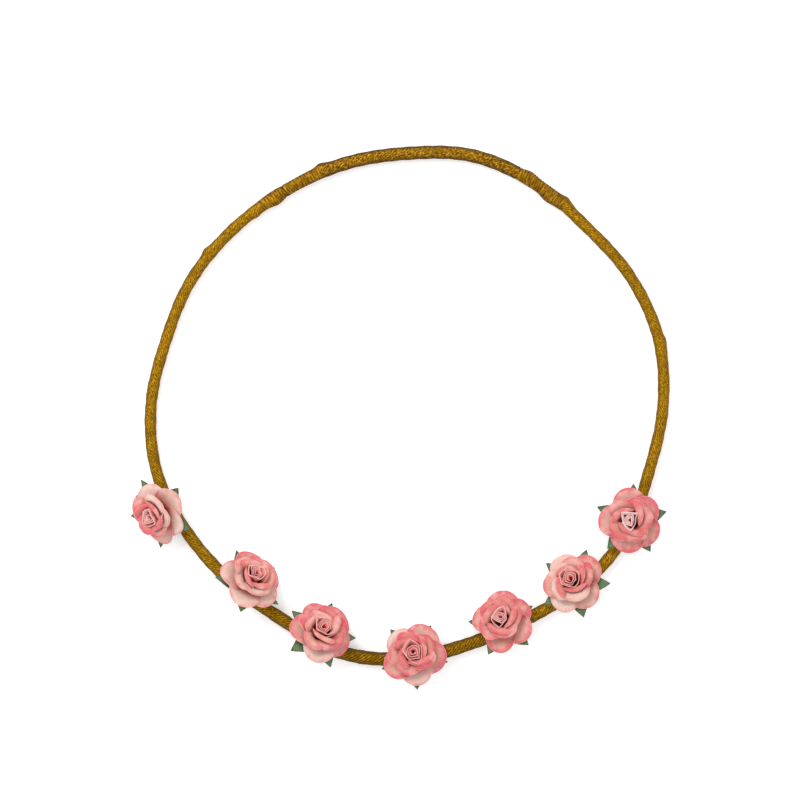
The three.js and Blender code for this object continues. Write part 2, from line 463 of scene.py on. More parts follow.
@dataclass(frozen=True)
class PetalPaper:
    """Dyed mulberry paper: tan in the petal's foot, cream on its blade and pink at its rim.

    The mesh carries two marks: "petal" is across, out and rim, and the second is how pale the
    petal is, how far down in the flower the point lies, and a number of the petal's own. The
    colour listed after rim is painted shade, laid on more the further down the point lies; it
    also mottles the paper at random.
    """

    name: str
    foot: str
    blade: str
    rim: str
    shade_and_mottle: str
    pale: str = "f3e0cb"
    bloom: str = "f0bab4"
    edge: str = "f2ccc6"
    rim_start: float = 0.42
    foot_end: float = 0.62

    def build(self) -> Material:
        """Makes the material.

        Returns:
            The material.
        """
        sketch = Sketch(self.name)
        across, out, rim = sketch.mark("petal")
        pale, depth, own = sketch.mark("dye_and_shade")
        place = sketch.place()
        wash = sketch.noise(place, 330.0, 3.0)
        blotch = sketch.noise(place, 1300.0, 4.0, 0.6)
        aside, outward = sketch.math("MULTIPLY", across, 12.0), sketch.math("MULTIPLY", out, 2.0)
        fibre_place = sketch.vector(aside, outward, own)
        streak = sketch.noise(fibre_place, 2.0, 4.0, 0.65)
        uneven = sketch.math("MULTIPLY", streak, 0.35)
        uneven = sketch.math("ADD", sketch.math("MULTIPLY", wash, 0.9), uneven)
        reach = sketch.math("SUBTRACT", sketch.math("ADD", rim, uneven), 0.62)
        reach = sketch.math("SUBTRACT", reach, sketch.math("MULTIPLY", pale, 0.3))
        pink = sketch.step(reach, self.rim_start, 0.98)
        blade = sketch.mix(sketch.step(out, 0.16, self.foot_end), self.foot, self.blade)
        fade = sketch.math("MULTIPLY", pale, sketch.step(out, 0.25, 0.7, 0.3, 0.95))
        blade = sketch.mix(fade, blade, self.pale)
        kept = sketch.math("SUBTRACT", 1.0, sketch.math("MULTIPLY", pale, 0.35))
        tinted = sketch.mix(sketch.math("MULTIPLY", pink, kept), blade, self.rim)
        mottled = sketch.mix(sketch.step(blotch, 0.55, 0.8, 0.0, 0.2), tinted, self.shade_and_mottle)
        streaked = sketch.mix(sketch.step(streak, 0.5, 0.8, 0.0, 0.35), mottled, self.rim)
        bloom = sketch.step(sketch.noise(place, 240.0, 2.0), 0.5, 0.7, 0.0, 0.5)
        streaked = sketch.mix(bloom, streaked, self.bloom)
        edged = sketch.mix(sketch.step(rim, 0.95, 1.0, 0.0, 0.5), streaked, self.edge)
        # Painted shade: the further down in the flower a point lies, the more it takes the shade colour.
        shaded = sketch.mix(depth, edged, self.shade_and_mottle)
        fibres = sketch.noise(place, 5200.0, 4.0, 0.7)
        crease = sketch.math("MULTIPLY", streak, 1.6)
        sketch.bump(sketch.math("ADD", crease, fibres), 0.1, 0.8)
        rough = sketch.step(fibres, 0.2, 0.8, 0.76, 0.95)
        return sketch.finish(shaded, rough, Specular_IOR_Level=0.15)


@dataclass(frozen=True)
class LeafPaper:
    """Matt green paper with a paler tip and faint veins."""

    name: str
    body: str
    tip: str
    edge: str

    def build(self) -> Material:
        """Makes the material from the "petal" mark.

        Returns:
            The material.
        """
        sketch = Sketch(self.name)
        across, out, rim = sketch.mark("petal")
        place = sketch.place()
        wash = sketch.noise(place, 600.0, 4.0)
        vein_place = sketch.vector(sketch.math("ABSOLUTE", across), out, 0.0)
        veins = sketch.nodes.new("ShaderNodeTexWave")
        veins.bands_direction = "DIAGONAL"
        sketch.link(vein_place, veins.inputs["Vector"])
        veins.inputs["Scale"].default_value = 3.2
        veins.inputs["Distortion"].default_value = 1.2
        body = sketch.mix(sketch.step(out, 0.45, 1.0), self.body, self.tip)
        body = sketch.mix(sketch.step(wash, 0.42, 0.75, 0.0, 0.55), body, self.edge)
        body = sketch.mix(sketch.step(veins.outputs["Fac"], 0.7, 1.0, 0.0, 0.18), body, self.edge)
        body = sketch.mix(sketch.step(rim, 0.86, 1.0, 0.0, 0.6), body, self.edge)
        fibres = sketch.noise(place, 5200.0, 4.0, 0.7)
        height = sketch.math("ADD", fibres, sketch.math("MULTIPLY", veins.outputs["Fac"], -0.8))
        sketch.bump(height, 0.09, 0.8)
        return sketch.finish(body, sketch.step(fibres, 0.2, 0.8, 0.7, 0.92), Specular_IOR_Level=0.3)


@dataclass(frozen=True)
class WoundPaper:
    """Thin green paper wound slantwise on a wire."""

    name: str
    body: str
    seam: str

    def build(self) -> Material:
        """Makes the material from the "lay" mark: along in mm, round in turns.

        Returns:
            The material.
        """
        sketch = Sketch(self.name)
        along, turn, _ = sketch.mark("lay")
        winding = sketch.math("FRACT", sketch.math("ADD", sketch.math("MULTIPLY", along, 0.7), turn))
        seam = sketch.step(winding, 0.8, 0.97)
        grain = sketch.noise(sketch.place(), 3500.0, 4.0)
        body = sketch.mix(sketch.math("MULTIPLY", seam, 0.7), self.body, self.seam)
        body = sketch.mix(sketch.step(grain, 0.45, 0.8, 0.0, 0.5), body, self.seam)
        sketch.bump(sketch.math("ADD", sketch.math("MULTIPLY", winding, 0.8), grain), 0.06, 0.8)
        return sketch.finish(body, sketch.step(grain, 0.2, 0.8, 0.65, 0.9))


class Lay(Enum):
    """Which way a thread slants as it goes along."""

    RIGHT = 1
    LEFT = -1


@dataclass(frozen=True)
class GoldThread:
    """Metallic thread laid slantwise over a core.

    strands is how many lie side by side round it, and pitch how far apart they are along
    it in millimetres. The mesh has the same strands as relief. contrast is how much painted
    shade the gap colour lays between them and how much darker its random flecks are, sheen
    how much painted glint of the glint colour it carries, and edge how much painted shade
    falls on its sides.
    """

    name: str
    gap: str
    body: str
    glint: str
    lay: Lay
    strands: int
    pitch: float
    contrast: float
    sheen: float
    edge: float = 0.5
    metal: float = 0.5

    def build(self) -> Material:
        """Makes the material from the "lay" mark: along in mm, round in turns, and extra painted shade.

        Returns:
            The material.
        """
        sketch = Sketch(self.name)
        along, turn, extra_shade = sketch.mark("lay")
        place = sketch.place()
        gap, glint = self.gap, self.glint
        wander = sketch.math("MULTIPLY", sketch.noise(place, 800.0, 3.0), 0.9)
        round_it = sketch.math("MULTIPLY", turn, self.strands * self.lay.value)
        along_it = sketch.math("DIVIDE", along, self.pitch)
        lay = sketch.math("ADD", sketch.math("ADD", round_it, along_it), wander)
        ridge = sketch.math("ABSOLUTE", sketch.math("SINE", sketch.math("MULTIPLY", lay, math.pi)))
        down_it = sketch.math("MULTIPLY", sketch.math("SUBTRACT", round_it, along_it), 0.6)
        fleck = sketch.noise(sketch.vector(lay, down_it, extra_shade), 1.4, 3.0, 0.6)
        fuzz = sketch.noise(place, 3200.0, 4.0, 0.75)
        patch = sketch.noise(place, 260.0, 3.0)
        # Painted shade: the gap colour fills the hollows between the strands.
        body = sketch.mix(sketch.step(ridge, 0.1, 0.8, self.contrast, 0.0), self.body, gap)
        # Painted glints: bright flecks of the glint colour along the strands.
        body = sketch.mix(sketch.step(fleck, 0.48, 0.68, 0.0, self.sheen), body, glint)
        body = sketch.mix(sketch.step(fleck, 0.46, 0.3, 0.0, self.contrast), body, gap)
        body = sketch.mix(sketch.step(fuzz, 0.5, 0.72, 0.0, 0.55), body, gap)
        # More painted glints, on random fibres.
        body = sketch.mix(sketch.step(fuzz, 0.46, 0.3, 0.0, 0.45), body, glint)
        body = sketch.mix(sketch.step(patch, 0.42, 0.7, 0.0, 0.3), body, gap)
        # Painted shade on the tube's two flanks, stronger where extra shade is marked.
        side = sketch.math("ABSOLUTE", sketch.math("COSINE", sketch.math("MULTIPLY", turn, TAU)))
        dark = sketch.math("ADD", sketch.math("MULTIPLY", extra_shade, 0.3), self.edge)
        body = sketch.mix(sketch.math("MULTIPLY", sketch.step(side, 0.4, 0.95), dark), body, gap)
        # Painted shade: where extra shade is marked, the hollows between the strands go darker still.
        sunk = sketch.math("MULTIPLY", extra_shade, sketch.step(ridge, 0.3, 0.95, 0.85, 0.1))
        body = sketch.mix(sunk, body, gap)
        height = sketch.math("MULTIPLY", ridge, 0.4)
        sketch.bump(sketch.math("ADD", height, sketch.math("MULTIPLY", fuzz, 0.8)), 0.12, 0.8)
        rough = sketch.step(fleck, 0.35, 0.65, 0.7, 0.45)
        return sketch.finish(body, rough, Metallic=self.metal, Specular_IOR_Level=0.08)


@dataclass(frozen=True)
class PlainCore:
    """Twisted cotton or rubber inside the thread."""

    name: str
    body: str
    shade: str

    def build(self) -> Material:
        """Makes the material.

        Returns:
            The material.
        """
        sketch = Sketch(self.name)
        grain = sketch.noise(sketch.place(), 1800.0, 4.0)
        body = sketch.mix(sketch.step(grain, 0.35, 0.7), self.shade, self.body)
        sketch.bump(grain, 0.1, 0.6)
        return sketch.finish(body, sketch.step(grain, 0.2, 0.8, 0.7, 0.95))


# Each thread's first colour is painted shade in its hollows and on its flanks, and also its random dark
# fibres and patches; its last colour is painted glints.
CORD_THREAD = GoldThread(
    "cord_thread", "422a01", "a3770a", "d8a11e", Lay.LEFT,
    strands=14, pitch=1.2, contrast=0.8, sheen=0.75,
)
ELASTIC_THREAD = GoldThread(
    "elastic_thread", "341e01", "8e650b", "e6ab2e", Lay.LEFT,
    strands=14, pitch=1.2, contrast=0.85, sheen=0.95, edge=0.8,
)
BINDING_THREAD = GoldThread(
    "binding_thread", "3a2401", "986d0c", "dca028", Lay.RIGHT,
    strands=3, pitch=0.85, contrast=0.85, sheen=0.8,
)
RECIPES: dict[str, PetalPaper | LeafPaper | WoundPaper | GoldThread | PlainCore] = {
    # In each petal paper the colour after the rim colour is painted shade, also used for random
    # mottling.
    "outer": PetalPaper("outer_petal_paper", "c48862", "dca898", "d8646e", "b03430", "e8d4c6"),
    "middle": PetalPaper(
        "middle_petal_paper", "c89468", "d68c7c", "d65e68", "aa302a", "e6cec0", rim_start=0.36
    ),
    "inner": PetalPaper(
        "inner_petal_paper", "c0926a", "d47a6c", "da6670", "b2483a", rim_start=0.36
    ),
    "bud": PetalPaper("bud_paper", "cc444c", "d8646a", "ea9890", "cc424c", "fff0ec", rim_start=0.5),
    "sepal": LeafPaper("sepal_paper", "4c6c4a", "78986c", "34452f"),
    "stem": WoundPaper("stem_paper", "35583c", "20382a"),
    "cord": CORD_THREAD,
    "elastic": ELASTIC_THREAD,
    "binding": BINDING_THREAD,
    "cotton": PlainCore("cotton_core", "ddd2b8", "b7a987"),
    "rubber": PlainCore("rubber_core", "e9e2d0", "cfc4a8"),
}


# The roses -------------------------------------------------------------------


@dataclass(frozen=True)
class PetalShape:
    """One kind of petal, in millimetres and degrees.

    It leaves the stem at foot height, rises at rise_foot and then at rise_blade, and
    from curl_from of its length it rolls back by curl. wrap is how round it goes: 1
    follows the flower, more is flatter. One side stands outside its neighbour by
    pinwheel, and higher by tilt. pinch rolls the sides back more than the middle, which
    points the rim. unlike is how far the petals' slopes differ.
    """

    length: float
    half_width: float
    foot_height: float
    rise_foot: float
    rise_blade: float
    curl: float
    curl_from: float
    foot_radius: float = 0.9
    foot_ratio: float = 0.4
    cup: float = 0.0
    roll: float = 0.5
    wrap: float = 1.6
    pinwheel: float = 0.0
    tilt: float = 0.0
    pinch: float = 0.1
    crumple: float = 0.2
    unlike: float = 6.0


@dataclass(frozen=True)
class Petal:
    """One petal of a whorl: its direction in degrees, and how it differs."""

    azimuth: float
    pale: float
    size: float


def disc_grid(count: int) -> tuple[Array, Array]:
    """A square grid pulled onto a disc, so that its rim is round and its cells even.

    Args:
        count: Points on each side.

    Returns:
        The x and y of each point, between -1 and 1.
    """
    line = np.linspace(-1, 1, count)
    u, v = np.meshgrid(line, line)
    return u * np.sqrt(1 - v * v / 2), v * np.sqrt(1 - u * u / 2)


def petal_profile(shape: PetalShape, length: float, lift: float, curl: float) -> tuple[Array, ...]:
    """The middle line of a petal, from its foot past its rim.

    Args:
        shape: The whorl's kind of petal.
        length: This petal's length.
        lift: How much steeper than the others it stands, in degrees.
        curl: How much more than the others it rolls back, in degrees.

    Returns:
        The share of the length, the distance from the stem, the height and the slope in
        radians, at each point of the line.
    """
    share = np.linspace(0, 1.3, 104)
    rise = shape.rise_foot + (shape.rise_blade + lift - shape.rise_foot) * smooth(share, 0.02, 0.42)
    rolled = np.clip((share - shape.curl_from) / (1 - shape.curl_from), 0, None)
    slope = np.radians(rise - (shape.curl + curl) * rolled**1.25)
    step = length * (share[1] - share[0])
    radial = shape.foot_radius + np.concatenate([[0], np.cumsum(np.cos(slope[:-1]) * step)])
    height = shape.foot_height + np.concatenate([[0], np.cumsum(np.sin(slope[:-1]) * step)])
    return share, radial, height, slope


def petal_points(shape: PetalShape, petal: Petal, seed: float) -> tuple[Array, Marks]:
    """Works out one petal.

    Args:
        shape: The whorl's kind of petal.
        petal: This petal.
        seed: Number that makes its size, roll and crumples its own.

    Returns:
        Its points in the rose's frame, and its "petal" and "dye" marks.
    """
    x, y = disc_grid(PETAL_GRID)
    out = (y + 1) / 2
    size = petal.size * (1 + 0.05 * chance(seed, 1))
    lift = shape.unlike * chance(seed, 2)
    profile = petal_profile(shape, shape.length * size, lift, 2.7 * shape.unlike * chance(seed, 3))
    reach = out * (1 + shape.pinch * (1 + chance(seed, 4)) * x * x)
    r, z, slope = (np.interp(reach, profile[0], line) for line in profile[1:])
    rim = np.sqrt(x * x + y * y)
    edge = smooth(rim, 0.6, 1.0) * smooth(out, 0.25, 0.5)
    blade = smooth(out, 0.1, 0.6)
    across = x * shape.half_width * size * (1 + 0.08 * chance(seed, 5))
    across = across * (shape.foot_ratio + (1 - shape.foot_ratio) * smooth(out, 0.0, 0.45))
    across = across + 0.8 * chance(seed, 6) * blade * out
    roll = shape.roll * (1 + 0.4 * chance(seed, 7))
    pinwheel = shape.pinwheel * (1 + 0.35 * chance(seed, 8))
    r = r + edge**2 * roll * np.sin(slope) + pinwheel * x * blade
    z = z - edge**2 * roll * np.cos(slope) + (shape.cup * x * x + shape.tilt * x) * blade
    bend = np.maximum(shape.wrap * np.maximum(r, 1.2), 1.6)
    angle = across / bend
    points = xyz(r - bend + bend * np.cos(angle), bend * np.sin(angle), z)
    folds = xyz(x * 2.6, out * 0.8, 0.0)
    crumple = ripple(points, 4.4, seed) + 0.4 * ripple(points, 1.7, seed + 9)
    crumple = crumple + 0.9 * (0.3 - np.abs(ripple(folds, 1.0, seed + 4)))
    normal = xyz(np.sin(slope), 0.0, -np.cos(slope))
    points = points + normal * (crumple * shape.crumple * smooth(out, 0.15, 0.6))[..., None]
    # Painted shade for the material: strongest at the petal's foot, gone by about six tenths of the way
    # out.
    depth = 0.9 * (1 - smooth(out, 0.08, 0.62))
    marks = {"petal": xyz(x, out, rim), "dye_and_shade": xyz(petal.pale, depth, seed)}
    return points @ spin(petal.azimuth + 4 * chance(seed, 9)), marks


@dataclass(frozen=True)
class Strip:
    """A strip of paper rolled into a bud.

    It makes turns from outside to inside, which are shares of the bud's size. Its edge
    is below the bud's top, it goes depth down from there to foot of its own width, and
    its edge turns out by lip. twist turns its corners from the bud's, in degrees.
    """

    turns: float
    outside: float
    inside: float
    below: float
    depth: float
    foot: float
    lip: float
    twist: float = 0.0


WRAP_STRIP = Strip(1.3, 1.0, 0.84, below=0.0, depth=6.2, foot=0.85, lip=0.6)
CORE_STRIP = Strip(2.6, 0.78, 0.14, below=0.4, depth=2.6, foot=0.6, lip=0.42, twist=35)


@dataclass(frozen=True)
class BudShape:
    """The rolled middle of one rose, seen from above, in millimetres and degrees."""

    corners: int
    turn: float
    along: float = 3.5
    beside: float = 2.9
    pale: float = 0.15
    sharp: float = 0.85


@dataclass(frozen=True)
class RoseLook:
    """What is particular to one rose. Directions are in degrees from the crown's +X."""

    turn: float
    outer: tuple[Petal, ...]
    middle: tuple[Petal, ...]
    inner: tuple[Petal, ...]
    bud: BudShape
    sepal: float = 11.8


OUTER_SHAPE = PetalShape(
    10.1, 5.6, 5.0, 30, 14, 30, 0.62, cup=0.9, roll=0.45, wrap=1.9, pinwheel=0.3,
    tilt=0.5, pinch=0.04, crumple=0.28, unlike=2.5,
)
MIDDLE_SHAPE = PetalShape(
    9.9, 4.9, 5.7, 28, 76, 108, 0.42, cup=0.3, roll=0.55, wrap=1.6, pinwheel=0.9,
    tilt=0.3, pinch=0.12, crumple=0.34,
)
INNER_SHAPE = PetalShape(
    8.5, 4.0, 6.8, 30, 87, 112, 0.55, cup=0.1, roll=0.45, wrap=3.0, pinwheel=1.3,
    tilt=0.3, pinch=0.14, crumple=0.26,
)


def whorl(
    azimuths: tuple[float, ...], pale: tuple[float, ...] | float, size: float = 1.0
) -> tuple[Petal, ...]:
    """Petals at these directions, with one paleness for all or one for each."""
    shades = pale if isinstance(pale, tuple) else (pale,) * len(azimuths)
    return tuple(Petal(a, p, size) for a, p in zip(azimuths, shades))


ROSE_LOOKS = (
    RoseLook(
        48,
        whorl((103, 36, -22, -92, 170), (0.9, 0.55, 0.95, 0.5, 0.1)),
        whorl((67, 0, -70, -140, 139), (0.9, 0.8, 0.3, 0.0, 0.0), 0.95),
        whorl((150, 60, -30, -115), 0.1),
        BudShape(3, 90, pale=0.5),
        sepal=12.2,
    ),
    RoseLook(
        34,
        whorl((165, 93, 21, -51, -123), (0.5, 0.1, 0.2, 0.5, 0.7)),
        whorl((140, 60, -10, -86, -158), (0.6, 0.2, 0.3, 0.7, 0.7)),
        whorl((120, 20, -75, -150), 0.3),
        BudShape(4, 30, 3.2, 2.8),
    ),
    RoseLook(
        -4,
        whorl((98, 32, -32, -96, 172), (0.0, 0.0, 0.1, 0.7, 0.1)),
        whorl((62, -2, -66, -134, 140), (0.0, 0.0, 0.1, 0.4, 0.1)),
        whorl((85, 0, -100, 150), 0.45),
        BudShape(4, 45, 3.2, 3.2, pale=0.0),
    ),
    RoseLook(
        -12,
        whorl((135, 63, -9, -81, 207), (0.85, 0.2, 0.1, 0.7, 0.1)),
        whorl((171, 99, 27, -45, -117), (0.25, 0.1, 0.1, 0.2, 0.3)),
        whorl((120, 30, -60, -150), 0.15),
        BudShape(4, 105, 4.0, 3.0),
        sepal=11.2,
    ),
    RoseLook(
        31,
        whorl((95, 38, -30, -98, 172), (0.05, 0.0, 0.1, 0.0, 0.1)),
        whorl((128, 62, 0, -66, -140), (0.1, 0.1, 0.35, 0.1, 0.2)),
        whorl((160, 75, -5, -90), 0.25),
        BudShape(4, 80, 3.1, 2.4, pale=0.4),
        sepal=11.2,
    ),
    RoseLook(
        71,
        whorl((115, 40, -42, -122, 180), (0.8, 0.2, 0.5, 0.9, 0.3)),
        whorl((150, 78, 10, -70, -150), (0.7, 0.4, 0.1, 0.8, 0.8)),
        whorl((125, 30, -60, -140), 0.2),
        BudShape(5, 20, 3.3, 3.2),
    ),
    RoseLook(
        14,
        whorl((90, 30, -40, -107, 175), (0.1, 0.0, 0.1, 0.1, 0.2)),
        whorl((125, 60, -8, -75, -145), (0.35, 0.1, 0.1, 0.15, 0.1)),
        whorl((140, 35, -90), 0.2),
        BudShape(3, 30, 3.2, 3.0, pale=0.9),
    ),
)


@dataclass
class Rose:
    """A paper rose on a wire stem that is coiled round the cord."""

    number: int
    look: RoseLook
    place: Matrix
    heading: float
    sleeve_radius: float
    paper_thickness: float = 0.24
    calyx_height: float = 4.75
    sepal_half_width: float = 2.75
    sepal_widest: float = 0.56
    sepal_rise: float = 0.14
    calyx_flat: float = 2.0
    bud_foot: float = 7.2
    bud_top: float = 13.4
    wire_radius: float = 0.35
    coil_turns: int = 3
    coil_pitch: float = 1.25
    coil_gap: float = 0.26
    pieces: list[Piece] = field(default_factory=list)

    @property
    def body(self) -> str:
        """The frame's body that the rose rides on."""
        return f"rose_{self.number}"

    def keep(
        self, draft: Draft, part: str, node: str, finish: Material, slot: str, sheet: float = 0.0
    ) -> None:
        """Builds one piece of the rose, dresses it and makes it ride.

        Args:
            draft: Its points.
            part: Its name after the rose's own.
            node: The node of the frame that it stands for, without the rose's name.
            finish: Its material.
            slot: Not used.
            sheet: Thickness to give it, or 0 where it is closed already.
        """
        piece = draft.build(f"{self.body}_{part}", self.place)
        if sheet:
            thicken(piece, sheet)
        dress(piece, finish)
        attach(piece, self.body)
        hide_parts(f"{self.body}_{node}")
        self.pieces.append(piece)

    def turned(self, petal: Petal) -> Petal:
        """The petal with its direction measured from the cord."""
        return Petal(petal.azimuth - self.heading, petal.pale, petal.size)

    def build_whorl(
        self, part: str, petals: tuple[Petal, ...], shape: PetalShape, finish: Material, slot: str
    ) -> None:
        """Builds one whorl of petals.

        Args:
            part: The whorl's name.
            petals: Its petals.
            shape: What kind of petal they are.
            finish: Their material.
            slot: The record's slot of that material.
        """
        draft = Draft()
        for index, petal in enumerate(petals):
            seed = self.number * 7.3 + index * 2.9 + shape.length
            points, marks = petal_points(shape, self.turned(petal), seed)
            draft.add_grid(points, marks)
        self.keep(draft, f"{part}_whorl", f"{part}_petals", finish, slot, self.paper_thickness)

    def roll_strip(self, draft: Draft, strip: Strip) -> None:
        """Adds one strip of paper, rolled round the stem, to the bud's draft.

        Args:
            draft: The bud's draft.
            strip: The strip.
        """
        bud = self.look.bud
        s, t = np.meshgrid(np.linspace(0, 1, int(56 * strip.turns)), np.linspace(0, 1, 13))
        angle = s * strip.turns * TAU
        phase = self.number * 1.7 + strip.twist
        uneven = angle + 0.3 * np.sin(angle + phase)
        sector = TAU / bud.corners
        corner = math.cos(sector / 2) / np.cos(uneven % sector - sector / 2)
        share = (strip.outside + (strip.inside - strip.outside) * s) * (1 + bud.sharp * (corner - 1))
        narrowed = strip.foot + (1 - strip.foot) * smooth(t, 0.0, 0.7)
        share = share * (1 + 0.09 * np.sin(2 * angle + phase)) * narrowed
        uneven_top = 0.5 * np.sin(angle + phase) + 0.5 * (corner - 0.8)
        z = self.bud_top - strip.below + strip.outside * uneven_top - strip.depth * (1 - t)
        reach = strip.lip * smooth(t, 0.62, 1.0) ** 1.5
        aside = 0.35 * (1 - strip.outside)
        x = (share * bud.along + reach) * np.cos(angle) + aside * math.cos(phase)
        y = (share * bud.beside + reach) * np.sin(angle) + aside * math.sin(phase)
        points = xyz(x, y, z) @ spin(bud.turn + strip.twist - self.heading)
        points = points + ripple(points, 2.0, self.number * 3.1)[..., None] * 0.22
        # Painted shade: strongest low in the bud, gone near its top edge.
        shade = 0.8 * (1 - smooth(t, 0.3, 0.9))
        marks = {"petal": xyz(s * 4 - 2, t, t), "dye_and_shade": xyz(bud.pale, shade, s * 5)}
        draft.add_grid(points, marks)

    def build_bud(self, finish: Material) -> None:
        """Rolls the bud: a cornered outer wrap and a tighter core in it.

        Args:
            finish: Its material.
        """
        draft = Draft()
        self.roll_strip(draft, WRAP_STRIP)
        self.roll_strip(draft, CORE_STRIP)
        self.keep(draft, "rolled_bud", "bud", finish, "bud_pink", 0.2)

    def build_calyx(self, finish: Material) -> None:
        """Cuts five pointed sepals, each widest past its middle.

        Args:
            finish: Their material.
        """
        draft = Draft()
        x, y = disc_grid(SEPAL_GRID)
        out = (y + 1) / 2
        rim = np.sqrt(x * x + y * y)
        side = x / np.maximum(np.sqrt(np.maximum(1 - y * y, 0)), 0.05)
        swell = np.clip(out / self.sepal_widest, 0, 1) ** 0.7
        taper = 1 - np.clip((out - self.sepal_widest) / (1 - self.sepal_widest), 0, 1) ** 1.25
        width = self.sepal_half_width * (0.25 + 0.75 * swell) * taper
        for index in range(5):
            seed = self.number * 5.1 + index
            r = 0.5 + out * (self.look.sepal - 0.5)
            lift = 0.25 * math.sin(seed * 2.3) * smooth(out, 0.35, 1.0)
            lift = lift + self.sepal_rise * np.maximum(r - self.calyx_flat, 0)
            z = self.calyx_height + lift + 0.2 * side**2 * smooth(out, 0.2, 0.8)
            points = xyz(r, side * width, z)
            points[..., 2] += ripple(points, 3.0, seed) * 0.2
            marks = {"petal": xyz(side, out, np.maximum(rim, np.abs(side) * 0.9))}
            draft.add_grid(points @ spin(self.look.turn + 72 * index - self.heading), marks)
        self.keep(draft, "sepals", "calyx", finish, "sepal_paper", 0.32)

    def build_hip(self, finish: Material) -> None:
        """Turns the small green cup between the stem and the sepals.

        Args:
            finish: Its material.
        """
        outline = ((0.42, -1.5), (0.62, -1.3), (1.0, -0.9), (1.6, -0.45), (1.9, -0.12), (1.7, 0.0))
        sides = 24
        turn = np.arange(sides) * TAU / sides
        rows = []
        for radius, z in outline:
            level = self.calyx_height + z - 0.25
            rows.append(xyz(radius * np.cos(turn), radius * np.sin(turn), level))
        points = np.array(rows)
        share = np.linspace(0, 0.4, len(outline))[:, None] * np.ones(sides)
        draft = Draft()
        marks = {"petal": xyz(0.0, share, share)}
        draft.add_grid(points, marks, closed=True, capped=True)
        piece = draft.build(f"{self.body}_hip", self.place)
        dress(piece, finish)
        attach(piece, self.body)
        self.pieces.append(piece)

    def build_stem(self, finish: Material) -> None:
        """Winds the stem wire round the cord and takes it up through the flower.

        Args:
            finish: Its material.
        """
        coil_radius = self.sleeve_radius + self.coil_gap + self.wire_radius
        reach = self.coil_turns * self.coil_pitch / 2
        turns = np.linspace(0, self.coil_turns, self.coil_turns * 28)
        angle = turns * TAU + TAU / 4
        forward = turns * self.coil_pitch - reach
        coil = xyz(forward, coil_radius * np.cos(angle), coil_radius * np.sin(angle))
        foot = np.array([reach, 0, coil_radius])
        head = np.array([0.0, 0.0, self.bud_foot])
        t = np.linspace(0, 1, 26)[1:, None]
        leave = foot + np.array([0.3, -1.2, 0.6])
        settle = np.array([0.0, 0.0, coil_radius + 0.7])
        rise = (1 - t) ** 3 * foot + 3 * t * (1 - t) ** 2 * leave
        rise = rise + 3 * t**2 * (1 - t) * settle + t**3 * head
        path = np.concatenate([coil, rise])
        draft = laid_tube(path, np.full(len(path), self.wire_radius), 12, np.array([0.13, 0.94, 0.31]))
        self.keep(draft, "wound_stem", "stem_wire", finish, "stem_paper")

    def build(self, finishes: Finishes) -> None:
        """Builds every piece of the rose, from the stem up.

        Args:
            finishes: The materials by name.
        """
        self.build_stem(finishes["stem"])
        self.build_hip(finishes["sepal"])
        self.build_calyx(finishes["sepal"])
        self.build_whorl("outer", self.look.outer, OUTER_SHAPE, finishes["outer"], "petal_blush")
        self.build_whorl("middle", self.look.middle, MIDDLE_SHAPE, finishes["middle"], "petal_pink")
        self.build_whorl("inner", self.look.inner, INNER_SHAPE, finishes["inner"], "petal_pink")
        self.build_bud(finishes["bud"])
        log.info("rose %d: %s", self.number, ", ".join(piece.name for piece in self.pieces))


# The band --------------------------------------------------------------------


class Side(Enum):
    """Which way a lump on the band stands: cosine of its direction round the tube."""

    OUTSIDE = 1
    INSIDE = -1


class Half(Enum):
    """A half of the band, as it is written in the names of its bodies and nodes."""

    LEFT = "left"
    RIGHT = "right"


@dataclass(frozen=True)
class Lump:
    """A small swelling on one side of the band: where, how long, how high, in mm and degrees."""

    angle: float
    length: float
    rise: float
    side: Side


LUMPS = (
    Lump(14.2, 2.2, 0.5, Side.OUTSIDE),
    Lump(52.0, 2.4, 0.8, Side.OUTSIDE),
    Lump(56.0, 3.0, 0.85, Side.INSIDE),
    Lump(62.0, 2.2, 0.5, Side.OUTSIDE),
    Lump(109.8, 2.0, 0.75, Side.OUTSIDE),
    Lump(122.4, 2.4, 0.6, Side.INSIDE),
    Lump(128.0, 1.6, 0.3, Side.INSIDE),
    Lump(142.4, 1.8, 0.55, Side.OUTSIDE),
)

PARTINGS = (65.2, 50.4, 119.8, 127.3)  # where a splice's winding parts, in degrees


